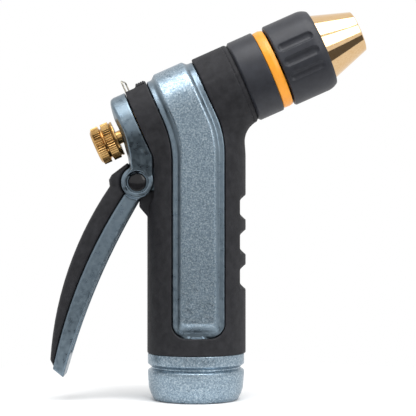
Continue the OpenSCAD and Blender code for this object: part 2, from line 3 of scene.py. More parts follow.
import bmesh
import bpy
import numpy as np
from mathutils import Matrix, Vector


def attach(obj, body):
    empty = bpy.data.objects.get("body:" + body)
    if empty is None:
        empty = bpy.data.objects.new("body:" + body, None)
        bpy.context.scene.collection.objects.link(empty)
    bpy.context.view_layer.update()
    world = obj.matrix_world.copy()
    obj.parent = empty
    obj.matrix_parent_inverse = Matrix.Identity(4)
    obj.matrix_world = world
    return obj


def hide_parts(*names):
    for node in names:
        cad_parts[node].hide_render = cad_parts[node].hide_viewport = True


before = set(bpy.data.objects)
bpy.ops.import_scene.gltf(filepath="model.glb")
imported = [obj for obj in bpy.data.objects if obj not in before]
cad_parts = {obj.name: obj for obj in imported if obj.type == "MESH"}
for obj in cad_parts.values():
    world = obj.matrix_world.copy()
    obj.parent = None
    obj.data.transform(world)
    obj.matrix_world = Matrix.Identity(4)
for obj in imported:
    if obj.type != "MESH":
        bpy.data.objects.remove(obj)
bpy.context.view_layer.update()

# Hose spray nozzle with a rear trigger. Shapes are worked out in millimetres and stored in metres.
# Station is the distance forward along the spray axis, rise is the height above that axis.

scene = bpy.context.scene
mm = 0.001

head = {"tilt": math.radians(24), "height": 105.7}
tiltCos, tiltSin = math.cos(head["tilt"]), math.sin(head["tilt"])
pivot = {"x": -20.654, "z": 77.348, "hole": 1.83}


# shared helpers

def headPoint(station, rise, y=0.0):
    return (station * tiltCos - rise * tiltSin, y,
            head["height"] + station * tiltSin + rise * tiltCos)


def headParts(p):
    up = p[:, 2] - head["height"]
    return p[:, 0] * tiltCos + up * tiltSin, -p[:, 0] * tiltSin + up * tiltCos


def smoothMin(a, b, k):
    h = np.clip(0.5 + 0.5 * (b - a) / k, 0, 1)
    return b + (a - b) * h - k * h * (1 - h)


def smoothMax(a, b, k):
    return -smoothMin(-a, -b, k)


def easeStep(v, low, high):
    t = np.clip((v - low) / (high - low), 0, 1)
    return t * t * (3 - 2 * t)


def outlineDistance(u, v, points):
    # signed distance to a closed outline, negative inside
    pts = np.asarray(points, float)
    best = np.full(u.shape, 1e9)
    inside = np.zeros(u.shape, bool)
    for a, b in zip(pts, np.roll(pts, -1, axis=0)):
        du, dv = b - a
        t = np.clip(((u - a[0]) * du + (v - a[1]) * dv) / (du * du + dv * dv), 0, 1)
        best = np.minimum(best, (u - a[0] - t * du) ** 2 + (v - a[1] - t * dv) ** 2)
        crosses = (a[1] > v) != (b[1] > v)
        if dv:
            inside ^= crosses & (u < a[0] + (v - a[1]) * du / dv)
    return np.where(inside, -1, 1) * np.sqrt(best)


def arcPoints(a, b, sag):
    # points of a flat arc from a to b that bulges by sag to the left of the way
    count = 14
    a, b = np.array(a, float), np.array(b, float)
    d = b - a
    chord = np.hypot(*d)
    left = np.array([-d[1], d[0]]) / chord
    r = (chord * chord / 4 + sag * sag) / (2 * sag)
    centre = (a + b) / 2 + left * (sag - r)
    start = math.atan2(a[1] - centre[1], a[0] - centre[0])
    turn = 4 * math.atan(2 * sag / chord)
    return [tuple(centre + abs(r) * np.array([math.cos(start - turn * i / count),
                                              math.sin(start - turn * i / count)]))
            for i in range(count + 1)]


def newObject(name, mesh):
    made = bpy.data.objects.new(name, mesh)
    scene.collection.objects.link(made)
    return made


def meshFromArrays(name, points, faces):
    mesh = bpy.data.meshes.new(name)
    faces = np.asarray(faces, np.int32)
    sides = faces.shape[1]
    mesh.vertices.add(len(points))
    mesh.vertices.foreach_set("co", (np.asarray(points, float) * mm).astype(np.float32).ravel())
    mesh.loops.add(faces.size)
    mesh.loops.foreach_set("vertex_index", faces.ravel())
    mesh.polygons.add(len(faces))
    mesh.polygons.foreach_set("loop_start", np.arange(0, faces.size, sides, dtype=np.int32))
    mesh.update(calc_edges=True)
    mesh.shade_smooth()
    return mesh


def fieldMesh(name, field, low, high, step):
    # closed mesh of the surface where the field is zero, its points moved onto that surface
    low = np.array(low, float) - 1.6 * step
    counts = np.ceil((np.array(high, float) + 1.6 * step - low) / step).astype(int) + 1
    axes = [low[i] + step * np.arange(counts[i]) for i in range(3)]
    values = np.empty(counts)
    for i in range(0, counts[0], 24):
        block = np.stack(np.meshgrid(axes[0][i:i + 24], axes[1], axes[2], indexing="ij"), -1)
        values[i:i + 24] = field(block.reshape(-1, 3)).reshape(block.shape[:3])
    inside = values < 0
    corners = [(a, b, c) for a in (0, 1) for b in (0, 1) for c in (0, 1)]
    cut = [slice(0, -1), slice(1, None)]
    filled = sum(inside[cut[a], cut[b], cut[c]].astype(np.int8) for a, b, c in corners)
    mixed = (filled > 0) & (filled < 8)
    cells = np.argwhere(mixed)
    number = np.full(mixed.shape, -1)
    number[mixed] = np.arange(len(cells))
    total, hits = np.zeros((len(cells), 3)), np.zeros(len(cells))
    for a in corners:
        for axis in range(3):
            if a[axis]:
                continue
            b = tuple(v + (i == axis) for i, v in enumerate(a))
            va = values[tuple((cells + a).T)]
            vb = values[tuple((cells + b).T)]
            crossed = (va < 0) != (vb < 0)
            t = np.where(crossed, va / np.where(crossed, va - vb, 1), 0)
            spot = cells + a + t[:, None] * np.eye(3)[axis]
            total += spot * crossed[:, None]
            hits += crossed
    points = low + step * total / hits[:, None]
    for _ in range(3):
        points += surfaceStep(field, points, step)[0]
    faces = []
    for axis in range(3):
        u, v = (axis + 1) % 3, (axis + 2) % 3
        first = [slice(None)] * 3
        second = [slice(None)] * 3
        first[axis], second[axis] = slice(0, -1), slice(1, None)
        a, b = inside[tuple(first)], inside[tuple(second)]
        edge = np.argwhere(a != b)
        edge = edge[(edge[:, u] > 0) & (edge[:, v] > 0)]
        edge = edge[(edge[:, u] < counts[u] - 1) & (edge[:, v] < counts[v] - 1)]
        start = a[tuple(edge.T)]
        du, dv = np.eye(3, dtype=int)[u], np.eye(3, dtype=int)[v]
        quad = np.stack([number[tuple((edge - du - dv).T)], number[tuple((edge - dv).T)],
                         number[tuple(edge.T)], number[tuple((edge - du).T)]], 1)
        quad[~start] = quad[~start][:, ::-1]
        faces.append(quad)
    mesh = meshFromArrays(name, points, np.concatenate(faces))
    slope = surfaceStep(field, points, step)[1]
    mesh.normals_split_custom_set_from_vertices(slope / np.linalg.norm(slope, axis=1)[:, None])
    return mesh


def surfaceStep(field, points, step):
    h = 0.03
    slope = np.stack([field(points + h * np.eye(3)[i]) - field(points - h * np.eye(3)[i])
                      for i in range(3)], 1) / (2 * h)
    size = np.maximum((slope ** 2).sum(1), 0.05)
    move = -(field(points) / size)[:, None] * slope
    length = np.linalg.norm(move, axis=1)
    return move * np.minimum(1, 0.45 * step / np.maximum(length, 1e-9))[:, None], slope


def roundedProfile(points, radius):
    # corners of a closed profile turned into short arcs
    pts = [np.array(p[:2], float) for p in points]
    radii = [p[2] if len(p) > 2 else radius for p in points]
    made = []
    for i, p in enumerate(pts):
        a, b = pts[i - 1] - p, pts[(i + 1) % len(pts)] - p
        la, lb = np.hypot(*a), np.hypot(*b)
        bend = math.acos(max(-1, min(1, float(a @ b) / (la * lb))))
        back = min(radii[i] / max(math.tan(bend / 2), 1e-6), 0.45 * la, 0.45 * lb)
        if radii[i] <= 0 or bend > 3.0:
            made.append(tuple(p))
            continue
        start, end = p + a / la * back, p + b / lb * back
        for k in range(5):
            t = k / 4
            made.append(tuple((1 - t) ** 2 * start + 2 * t * (1 - t) * p + t * t * end))
    return made


def headSpin(point):
    # from a turned piece's own (x, y, along) to the head
    return headPoint(point[2], point[0], point[1])


def uprightSpin(point):
    return point


def latheMesh(name, profile, radius, place, turns=128, smoothAngle=32):
    # a closed ring profile of (radius, along) turned about its axis
    loop = roundedProfile(profile, radius)
    count = len(loop)
    angles = [2 * math.pi * i / turns for i in range(turns)]
    points = [place((r * math.cos(a), r * math.sin(a), s)) for a in angles for r, s in loop]
    faces = [(i * count + j, ((i + 1) % turns) * count + j,
              ((i + 1) % turns) * count + (j + 1) % count, i * count + (j + 1) % count)
             for i in range(turns) for j in range(count)]
    mesh = meshFromArrays(name, points, faces)
    tidyMesh(mesh)
    mesh.set_sharp_from_angle(angle=math.radians(smoothAngle))
    return mesh


def tidyMesh(mesh):
    bm = bmesh.new()
    bm.from_mesh(mesh)
    bmesh.ops.remove_doubles(bm, verts=bm.verts, dist=1e-6)
    bmesh.ops.dissolve_degenerate(bm, edges=bm.edges, dist=1e-7)
    bmesh.ops.recalc_face_normals(bm, faces=bm.faces)
    bm.to_mesh(mesh)
    bm.free()
    mesh.shade_smooth()


def tubeMesh(name, path, wire):
    # round wire swept along a path, with rounded ends
    sides = 14
    path = np.array(path, float)
    ways = np.gradient(path, axis=0)
    ways /= np.linalg.norm(ways, axis=1)[:, None]
    side = np.cross(ways[0], [0.3, 0.2, 0.9])
    side /= np.linalg.norm(side)
    points, faces = [], []
    rings = []
    for spot, way in zip(path, ways):
        side = side - way * (side @ way)
        side /= np.linalg.norm(side)
        rings.append((spot, way, side.copy(), wire))
    first, last = rings[0], rings[-1]
    rings = [(first[0] - first[1] * wire * 0.5, first[1], first[2], wire * 0.8)] + rings
    rings += [(last[0] + last[1] * wire * 0.5, last[1], last[2], wire * 0.8)]
    for spot, way, out, r in rings:
        other = np.cross(way, out)
        for j in range(sides):
            a = 2 * math.pi * j / sides
            points.append(spot + r * (math.cos(a) * out + math.sin(a) * other))
    for i in range(len(rings) - 1):
        for j in range(sides):
            k = (j + 1) % sides
            faces.append((i * sides + j, i * sides + k, (i + 1) * sides + k, (i + 1) * sides + j))
    mesh = meshFromArrays(name, points, faces)
    bm = bmesh.new()
    bm.from_mesh(mesh)
    bmesh.ops.holes_fill(bm, edges=bm.edges, sides=0)
    bmesh.ops.recalc_face_normals(bm, faces=bm.faces)
    bm.to_mesh(mesh)
    bm.free()
    mesh.shade_smooth()
    return mesh


def joinMeshes(name, meshes):
    bm = bmesh.new()
    for mesh in meshes:
        bm.from_mesh(mesh)
    joined = bpy.data.meshes.new(name)
    bm.to_mesh(joined)
    bm.free()
    joined.shade_smooth()
    return joined


def fitOut(name, mesh, body, slot, material, *nodes):
    piece = newObject(name, mesh)
    piece.data.materials.clear()
    piece.data.materials.append(material)
    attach(piece, body)
    if nodes:
        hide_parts(*nodes)
    print("made", name, len(mesh.polygons), "faces")
    return piece


# finishes

def newMaterial(name, colour, rough, metal=0.0, specular=0.5):
    made = bpy.data.materials.new(name)
    made.use_nodes = True
    shader = made.node_tree.nodes["Principled BSDF"]
    shader.inputs["Base Color"].default_value = (*colour, 1)
    shader.inputs["Roughness"].default_value = rough
    shader.inputs["Metallic"].default_value = metal
    shader.inputs["Specular IOR Level"].default_value = specular
    made.diffuse_color = (*colour, 1)
    return made, made.node_tree.nodes, made.node_tree.links, shader


def placedNoise(nodes, links, scale, detail=4.0, stretch=None, rough=0.6):
    # noise laid out in the object's own coordinates, scale in repeats per metre
    place = nodes.new("ShaderNodeTexCoord")
    source = place.outputs["Object"]
    if stretch:
        turn = nodes.new("ShaderNodeMapping")
        turn.inputs["Scale"].default_value = stretch
        links.new(source, turn.inputs["Vector"])
        source = turn.outputs["Vector"]
    noise = nodes.new("ShaderNodeTexNoise")
    links.new(source, noise.inputs["Vector"])
    noise.inputs["Scale"].default_value = scale
    noise.inputs["Detail"].default_value = detail
    noise.inputs["Roughness"].default_value = rough
    return noise


def colourRamp(nodes, links, source, stops):
    ramp = nodes.new("ShaderNodeValToRGB")
    while len(ramp.color_ramp.elements) < len(stops):
        ramp.color_ramp.elements.new(0.5)
    for element, (at, colour) in zip(ramp.color_ramp.elements, stops):
        element.position = at
        element.color = (*colour, 1)
    links.new(source, ramp.inputs["Fac"])
    return ramp


def valueRange(nodes, links, source, low, high, fromLow=0.3, fromHigh=0.7):
    spread = nodes.new("ShaderNodeMapRange")
    spread.inputs["From Min"].default_value = fromLow
    spread.inputs["From Max"].default_value = fromHigh
    spread.inputs["To Min"].default_value = low
    spread.inputs["To Max"].default_value = high
    links.new(source, spread.inputs["Value"])
    return spread


def addBump(nodes, links, shader, height, strength, depth):
    bump = nodes.new("ShaderNodeBump")
    bump.inputs["Strength"].default_value = strength
    bump.inputs["Distance"].default_value = depth
    links.new(height, bump.inputs["Height"])
    links.new(bump.outputs["Normal"], shader.inputs["Normal"])
    return bump


castZinc = {"dark": (0.12, 0.165, 0.205), "middle": (0.24, 0.315, 0.38),
            "light": (0.52, 0.60, 0.65), "smooth": (0.15, 0.20, 0.245),
            "sheen": (0.20, 0.255, 0.30), "mottle": 1700, "grain": 3000,
            "rough": (0.24, 0.46), "pitting": 0.0001}
gripRubber = {"colour": (0.011, 0.011, 0.013), "worn": (0.022, 0.022, 0.025), "grain": 3200,
              "rough": (0.55, 0.75), "pebble": 0.00006}
satinPlastic = {"colour": (0.017, 0.018, 0.023), "pale": (0.025, 0.027, 0.034), "grain": 2400,
                "rough": (0.38, 0.5), "texture": 0.00003}
orangePlastic = {"colour": (0.83, 0.33, 0.014), "deep": (0.72, 0.26, 0.009), "grain": 900,
                 "rough": (0.32, 0.42)}
knurledBrass = {"colour": (0.66, 0.42, 0.17), "tarnish": (0.42, 0.24, 0.08), "patches": 260,
                "rough": (0.18, 0.3)}
polishedBrass = {"colour": (0.78, 0.55, 0.31), "warm": (0.72, 0.48, 0.25),
                 "rough": (0.05, 0.09)}
brightSteel = {"colour": (0.42, 0.40, 0.34), "dull": (0.24, 0.22, 0.18), "streaks": 1500,
               "rough": (0.2, 0.35)}
sealRubber = {"colour": (0.018, 0.018, 0.019), "bloom": (0.035, 0.035, 0.036), "grain": 1800,
              "rough": (0.5, 0.7)}


def makeCastZinc(name, smoothParts):
    # mottled as cast, and plainer where the piece's own "smooth" attribute is 1
    v = castZinc
    made, nodes, links, shader = newMaterial(name, v["middle"], 0.36, metal=1.0)
    mottle = placedNoise(nodes, links, v["mottle"], detail=5, rough=0.75)
    tone = colourRamp(nodes, links, mottle.outputs["Fac"],
                      [(0.34, v["dark"]), (0.5, v["middle"]), (0.68, v["light"])])
    haze = placedNoise(nodes, links, v["mottle"] * 0.3, detail=4)
    plain = colourRamp(nodes, links, haze.outputs["Fac"], [(0.35, v["smooth"]), (0.65, v["sheen"])])
    if smoothParts:
        where = nodes.new("ShaderNodeAttribute")
        where.attribute_name = "smooth"
        blend = nodes.new("ShaderNodeMix")
        blend.data_type = "RGBA"
        links.new(where.outputs["Fac"], blend.inputs["Factor"])
        links.new(tone.outputs["Color"], blend.inputs["A"])
        links.new(plain.outputs["Color"], blend.inputs["B"])
        links.new(blend.outputs["Result"], shader.inputs["Base Color"])
    else:
        links.new(plain.outputs["Color"], shader.inputs["Base Color"])
    spread = valueRange(nodes, links, haze.outputs["Fac"], *v["rough"])
    links.new(spread.outputs["Result"], shader.inputs["Roughness"])
    grain = placedNoise(nodes, links, v["grain"], detail=3, rough=0.6)
    addBump(nodes, links, shader, grain.outputs["Fac"], 0.4 if smoothParts else 0.15, v["pitting"])
    return made


def makeSoft(name, v, colourKeys, specular, bumpStrength=0.6):
    made, nodes, links, shader = newMaterial(name, v["colour"], 0.6, specular=specular)
    patches = placedNoise(nodes, links, v["grain"] * 0.12, detail=3)
    tone = colourRamp(nodes, links, patches.outputs["Fac"],
                      [(0.3, v[colourKeys[0]]), (0.72, v[colourKeys[1]])])
    links.new(tone.outputs["Color"], shader.inputs["Base Color"])
    grain = placedNoise(nodes, links, v["grain"], detail=2)
    spread = valueRange(nodes, links, grain.outputs["Fac"], *v["rough"])
    links.new(spread.outputs["Result"], shader.inputs["Roughness"])
    depth = v.get("pebble") or v.get("texture") or 0.00002
    addBump(nodes, links, shader, grain.outputs["Fac"], bumpStrength, depth)
    return made


def makeMetal(name, v, keys, patchScale, stretch=None, bumpDepth=0.00002):
    made, nodes, links, shader = newMaterial(name, v["colour"], 0.2, metal=1.0)
    patches = placedNoise(nodes, links, patchScale, detail=4, stretch=stretch)
    tone = colourRamp(nodes, links, patches.outputs["Fac"], [(0.36, v[keys[0]]), (0.6, v[keys[1]])])
    links.new(tone.outputs["Color"], shader.inputs["Base Color"])
    spread = valueRange(nodes, links, patches.outputs["Fac"], *v["rough"])
    links.new(spread.outputs["Result"], shader.inputs["Roughness"])
    addBump(nodes, links, shader, patches.outputs["Fac"], 0.25, bumpDepth)
    return made


zincFinish = makeCastZinc("castZinc", True)
triggerZinc = makeCastZinc("smoothZinc", False)
rubberFinish = makeSoft("gripRubber", gripRubber, ("colour", "worn"), 0.2)
plasticFinish = makeSoft("satinPlastic", satinPlastic, ("colour", "pale"), 0.3, 0.4)
orangeFinish = makeSoft("orangePlastic", orangePlastic, ("deep", "colour"), 0.5, 0.15)
knurledFinish = makeMetal("knurledBrass", knurledBrass, ("tarnish", "colour"),
                          knurledBrass["patches"])
polishedFinish = makeMetal("polishedBrass", polishedBrass, ("warm", "colour"), 260,
                           stretch=(1, 6, 6), bumpDepth=0.000008)
steelFinish = makeMetal("brightSteel", brightSteel, ("dull", "colour"), brightSteel["streaks"])
sealFinish = makeSoft("sealRubber", sealRubber, ("colour", "bloom"), 0.4)
print("finishes ready")


# Geometry Nodes for ridges, ribs and threads

def startTree(name, counts, measures):
    # a tree whose inputs are whole numbers, then measures, then the finish
    tree = bpy.data.node_groups.new(name, "GeometryNodeTree")
    sockets = [(label, "NodeSocketInt") for label in counts]
    sockets += [(label, "NodeSocketFloat") for label in measures]
    for label, kind in sockets + [("Finish", "NodeSocketMaterial")]:
        tree.interface.new_socket(label, in_out="INPUT", socket_type=kind)
    tree.interface.new_socket("Geometry", in_out="OUTPUT", socket_type="NodeSocketGeometry")
    return tree, tree.nodes, tree.links, tree.nodes.new("NodeGroupInput").outputs


def endTree(tree, nodes, links, shape, finish):
    realize, paint = nodes.new("GeometryNodeRealizeInstances"), nodes.new("GeometryNodeSetMaterial")
    links.new(shape, realize.inputs["Geometry"])
    links.new(realize.outputs["Geometry"], paint.inputs["Geometry"])
    links.new(finish, paint.inputs["Material"])
    links.new(paint.outputs["Geometry"], nodes.new("NodeGroupOutput").inputs["Geometry"])
    return tree


def lineOfCopies(nodes, links, shape, count, pitch):
    offset, line = nodes.new("ShaderNodeCombineXYZ"), nodes.new("GeometryNodeMeshLine")
    copies = nodes.new("GeometryNodeInstanceOnPoints")
    links.new(pitch, offset.inputs["Z"])
    links.new(count, line.inputs["Count"])
    links.new(offset.outputs["Vector"], line.inputs["Offset"])
    links.new(line.outputs["Mesh"], copies.inputs["Points"])
    links.new(shape, copies.inputs["Instance"])
    return copies.outputs["Instances"]


def makeKnurlTree():
    # straight ridges round a turned band, repeated for each band
    tree, nodes, links, sizes = startTree("straightKnurl", ["Ridges", "Bands"],
                                          ["Band Pitch", "Radius", "Half Width", "Length"])
    ring, ridge = nodes.new("GeometryNodeMeshCircle"), nodes.new("GeometryNodeMeshCylinder")
    ridge.inputs["Vertices"].default_value = 4
    outward = nodes.new("FunctionNodeAlignRotationToVector")
    spot = nodes.new("GeometryNodeInputPosition")
    outward.axis = "X"
    copies = nodes.new("GeometryNodeInstanceOnPoints")
    links.new(sizes["Ridges"], ring.inputs["Vertices"])
    links.new(sizes["Radius"], ring.inputs["Radius"])
    links.new(sizes["Half Width"], ridge.inputs["Radius"])
    links.new(sizes["Length"], ridge.inputs["Depth"])
    links.new(spot.outputs["Position"], outward.inputs["Vector"])
    links.new(ring.outputs["Mesh"], copies.inputs["Points"])
    links.new(ridge.outputs["Mesh"], copies.inputs["Instance"])
    links.new(outward.outputs["Rotation"], copies.inputs["Rotation"])
    bands = lineOfCopies(nodes, links, copies.outputs["Instances"],
                         sizes["Bands"], sizes["Band Pitch"])
    return endTree(tree, nodes, links, bands, sizes["Finish"])


def makeRibTree():
    # round ribs that follow the top of the head
    tree, nodes, links, sizes = startTree("thumbRibs", ["Ribs"],
                                          ["Rib Pitch", "Radius", "Half Angle", "Wire"])
    arc, section = nodes.new("GeometryNodeCurveArc"), nodes.new("GeometryNodeCurvePrimitiveCircle")
    sweep = nodes.new("GeometryNodeCurveToMesh")
    arc.inputs["Resolution"].default_value = 14
    section.inputs["Resolution"].default_value = 8
    sweep.inputs["Fill Caps"].default_value = True
    start, whole = nodes.new("ShaderNodeMath"), nodes.new("ShaderNodeMath")
    start.operation = whole.operation = "MULTIPLY"
    start.inputs[1].default_value, whole.inputs[1].default_value = -1, 2
    links.new(sizes["Half Angle"], start.inputs[0])
    links.new(sizes["Half Angle"], whole.inputs[0])
    links.new(start.outputs["Value"], arc.inputs["Start Angle"])
    links.new(whole.outputs["Value"], arc.inputs["Sweep Angle"])
    links.new(sizes["Radius"], arc.inputs["Radius"])
    links.new(sizes["Wire"], section.inputs["Radius"])
    links.new(arc.outputs["Curve"], sweep.inputs["Curve"])
    links.new(section.outputs["Curve"], sweep.inputs["Profile Curve"])
    ribs = lineOfCopies(nodes, links, sweep.outputs["Mesh"], sizes["Ribs"], sizes["Rib Pitch"])
    return endTree(tree, nodes, links, ribs, sizes["Finish"])


def makeThreadTree():
    # one helical ridge with a square section standing on its corner
    tree, nodes, links, sizes = startTree("helicalThread", [],
                                          ["Rotations", "Radius", "Height", "Section"])
    helix = nodes.new("GeometryNodeCurveSpiral")
    section = nodes.new("GeometryNodeCurvePrimitiveCircle")
    upright, sweep = nodes.new("GeometryNodeSetCurveNormal"), nodes.new("GeometryNodeCurveToMesh")
    upright.mode = "Z_UP"
    helix.inputs["Resolution"].default_value = 64
    section.inputs["Resolution"].default_value = 4
    sweep.inputs["Fill Caps"].default_value = True
    links.new(sizes["Rotations"], helix.inputs["Rotations"])
    links.new(sizes["Radius"], helix.inputs["Start Radius"])
    links.new(sizes["Radius"], helix.inputs["End Radius"])
    links.new(sizes["Height"], helix.inputs["Height"])
    links.new(sizes["Section"], section.inputs["Radius"])
    links.new(helix.outputs["Curve"], upright.inputs["Curve"])
    links.new(upright.outputs["Curve"], sweep.inputs["Curve"])
    links.new(section.outputs["Curve"], sweep.inputs["Profile Curve"])
    return endTree(tree, nodes, links, sweep.outputs["Mesh"], sizes["Finish"])


def grownMesh(name, tree, sizes, place):
    # the tree's result as a plain mesh, put in its place
    holder = newObject(name + "Holder", bpy.data.meshes.new(name + "Seed"))
    grower = holder.modifiers.new(name, "NODES")
    grower.node_group = tree
    for socket in tree.interface.items_tree:
        if socket.in_out == "INPUT":
            grower[socket.identifier] = sizes[socket.name]
    graph = bpy.context.evaluated_depsgraph_get()
    mesh = bpy.data.meshes.new_from_object(holder.evaluated_get(graph), depsgraph=graph)
    holder.modifiers.remove(grower)
    bpy.data.objects.remove(holder)
    mesh.name = name
    for vertex in mesh.vertices:
        vertex.co = Vector(place(vertex.co)) * mm
    tidyMesh(mesh)
    mesh.set_sharp_from_angle(angle=math.radians(40))
    return mesh


knurlTree, ribTree, threadTree = makeKnurlTree(), makeRibTree(), makeThreadTree()


# casting and grip

casting = {"coreRadius": 14.5, "headCore": 12.9, "rear": -21.5, "front": 20.1, "shoulder": 86.0,
           "passage": 8.6, "bottom": 16.3, "blend": 5.0, "step": 0.54}
band = {"rear": -13.2, "front": 4.5, "left": -8.2, "right": 10.1, "foot": 22.8, "corner": 5.0,
        "bend": 3.0, "rimLevel": 13.95, "raise": 1.45, "rearRim": 1.9, "frontRim": 1.9,
        "footRim": 1.7, "rearWall": 1.6, "frontWall": 1.5, "footWall": 3.3}
lug = {"half": 5.6, "radius": 4.2}
# along the spray axis: from, to and radius
headBores = [(-22.5, -15.1, 6.1), (-15.6, -12.6, 5.1), (-13.0, -9.6, 2.7), (-10.6, 8.0, 8.6),
             (7.5, 21.2, 9.1)]


def bandSides(p):
    s = headParts(p)[0]
    left = smoothMin(band["left"] - p[:, 0], band["rear"] - s, band["bend"])
    right = smoothMax(p[:, 0] - band["right"], s - band["front"], band["bend"])
    return left, right, band["foot"] - p[:, 2]


def bandDistance(p):
    left, right, foot = bandSides(p)
    side, corner = np.maximum(left, right), band["corner"]
    u, v = np.maximum(side + corner, 0), np.maximum(foot + corner, 0)
    return np.where((u > 0) & (v > 0), np.hypot(u, v) - corner, np.maximum(side, foot))


def bandLevel(p):
    # how far out the bare metal stands: level rims, sloped walls and a raised middle
    left, right, foot = bandSides(p)
    climb = np.minimum((-left - band["rearRim"]) / band["rearWall"],
                       (-right - band["frontRim"]) / band["frontWall"])
    climb = smoothMin(climb, (-foot - band["footRim"]) / band["footWall"], 0.7)
    climb = smoothMax(smoothMin(climb, 1, 0.16), 0, 0.16)
    return band["rimLevel"] + band["raise"] * climb


def rimShare(p):
    # 1 on the lower rims and the lug, 0 on the raised middle and the collar
    rims = easeStep(band["rimLevel"] + 0.9 * band["raise"] - bandLevel(p), 0, 0.6)
    return np.where(p[:, 2] > 17, rims, 0.0)


def bandReach(p):
    return np.hypot(np.maximum(headParts(p)[1], 0), p[:, 1])


def coreDistance(p):
    s, n = headParts(p)
    above = np.maximum(p[:, 2] - casting["shoulder"], 0)
    upright = np.sqrt(p[:, 0] ** 2 + p[:, 1] ** 2 + above ** 2)
    along = np.maximum(casting["rear"] - s, s - casting["front"])
    barrel = np.maximum(np.hypot(n, p[:, 1]) - casting["headCore"], along)
    return smoothMin(upright - casting["coreRadius"], barrel, casting["blend"])


relief = {"x": -14.654, "slopeFrom": (-20.4, 62.95), "slopeWay": (0.834, 0.551), "blend": 1.0}


def rearClearance(p):
    # room behind the head for the trigger, negative inside that room
    s = headParts(p)[0]
    (x, z), (wayX, wayZ) = relief["slopeFrom"], relief["slopeWay"]
    slope = (p[:, 0] - x) * wayX - (p[:, 2] - z) * wayZ
    room = smoothMax(s - casting["rear"], p[:, 0] - relief["x"], relief["blend"])
    return smoothMax(room, slope, relief["blend"])


def lugDistance(p):
    x, z = p[:, 0] - pivot["x"], p[:, 2] - pivot["z"]
    flat = outlineDistance(x, z, [(0, 4.2), (8, 6), (8, -2.5), (0, -4.2)])
    flat = np.minimum(flat, np.hypot(x, z) - lug["radius"])
    return smoothMax(flat, np.abs(p[:, 1]) - lug["half"], 0.4)


def metalDistance(p):
    # all that the zinc fills, before its bores
    core = np.maximum(coreDistance(p), -rearClearance(p))
    edge, level, reach = bandDistance(p), bandLevel(p), bandReach(p)
    core = np.maximum(core, -np.maximum(edge, level - reach))
    slab = smoothMax(smoothMax(edge, reach - level, 0.35), -rearClearance(p), 0.3)
    return np.minimum(np.minimum(core, slab), lugDistance(p))


def castingField(p):
    bore = np.maximum(np.hypot(p[:, 0], p[:, 1]) - casting["passage"], p[:, 2] - 99)
    pinHole = np.hypot(p[:, 0] - pivot["x"], p[:, 2] - pivot["z"]) - pivot["hole"]
    d = np.maximum(metalDistance(p), -bore)
    d = np.maximum(d, casting["bottom"] - p[:, 2])
    s, n = headParts(p)
    fromAxis = np.hypot(n, p[:, 1])
    for start, end, radius in headBores:
        d = np.maximum(d, -np.maximum(fromAxis - radius, np.maximum(start - s, s - end)))
    return np.maximum(d, -pinHole)


collar = {"mouth": 12.25, "depth": 11.3, "seat": 13.4, "seatTop": 14.4, "passage": 8.5,
          "pitch": 2.21, "threadDepth": 1.15}


def collarMesh():
    v = collar
    outside = [(15.0, 0.0, 0.3), (16.15, 2.25, 1.2), (16.85, 4.5, 0.15), (17.22, 9.4, 0.9),
               (17.15, 10.45, 0.35), (15.85, 11.35, 0.35), (15.85, 11.75, 0.25),
               (17.2, 12.85, 0.4), (17.2, 16.55, 0.35)]
    inside = [(v["passage"], 16.55, 0.0), (v["passage"], v["seatTop"], 0.15),
              (v["seat"], v["seatTop"], 0.1),
              (v["seat"], v["depth"], 0.1), (v["mouth"], v["depth"], 0.2), (v["mouth"], 1.0, 0.2),
              (13.2, 0.0, 0.2)]
    return latheMesh("collar", outside + inside, 0.2, uprightSpin, turns=160)


def inletThreadMesh():
    v = collar
    mesh = grownMesh("inletThread", threadTree, {
        "Rotations": 4.2, "Radius": v["mouth"] + 0.05, "Height": 4.2 * v["pitch"],
        "Section": v["threadDepth"], "Finish": zincFinish}, lambda q: (q[0], q[1], q[2] + 1.25))
    return mesh


zincBody = fieldMesh("castBody", castingField, (-25.5, -15.6, 16), (24, 15.6, 126.2),
                     casting["step"])
castingMesh = joinMeshes("body_casting_bare", [zincBody, collarMesh(), inletThreadMesh()])
spots = np.empty(len(castingMesh.vertices) * 3, np.float32)
castingMesh.vertices.foreach_get("co", spots)
spots = spots.reshape(-1, 3) / mm
smoothParts = castingMesh.attributes.new("smooth", "FLOAT", "POINT")
smoothParts.data.foreach_set("value", rimShare(spots).astype(np.float32))
fitOut("body_casting_bare", castingMesh, "body", "zinc", zincFinish, "body_casting")

grip = {"radius": 17.4, "headRadius": 14.8, "bottom": 16.6, "shoulder": 86.0, "neck": 18.1,
        "blend": 5.4, "gap": 0.22, "edge": 0.55, "step": 0.45, "throat": 11.0,
        "seam": 0.3, "line": 16.2}
notch = {"depth": 1.75, "height": 8.3, "low": 43.7, "pitch": 12.4, "half": 7.4}
clipStep = {"rise": 13.4, "end": -17.3}


def gripOutside(p):
    s, n = headParts(p)
    upright = np.sqrt(p[:, 0] ** 2 + p[:, 1] ** 2 + np.maximum(p[:, 2] - grip["shoulder"], 0) ** 2)
    barrel = np.maximum(np.hypot(n, p[:, 1]) - grip["headRadius"], grip["neck"] - 60 - s)
    throat = np.hypot(p[:, 0] - grip["radius"] + grip["throat"], p[:, 1]) - grip["throat"]
    handle = smoothMin(upright - grip["radius"], np.maximum(throat, n), 1.5)
    return smoothMin(handle, barrel, grip["blend"])


wedge = {"corner": (-20.15, 68.65), "top": 76.6, "front": -12}


def wedgeDistance(p):
    # rubber under the pivot lug, between the ears
    x, z = p[:, 0] - wedge["corner"][0], p[:, 2] - wedge["corner"][1]
    d = smoothMax(smoothMax(-x * 0.758 - z * 0.653, z * 0.065 - x, 0.6),
                  np.abs(p[:, 1]) - lug["half"], 0.5)
    return np.maximum(np.maximum(d, p[:, 2] - wedge["top"]), p[:, 0] - wedge["front"])


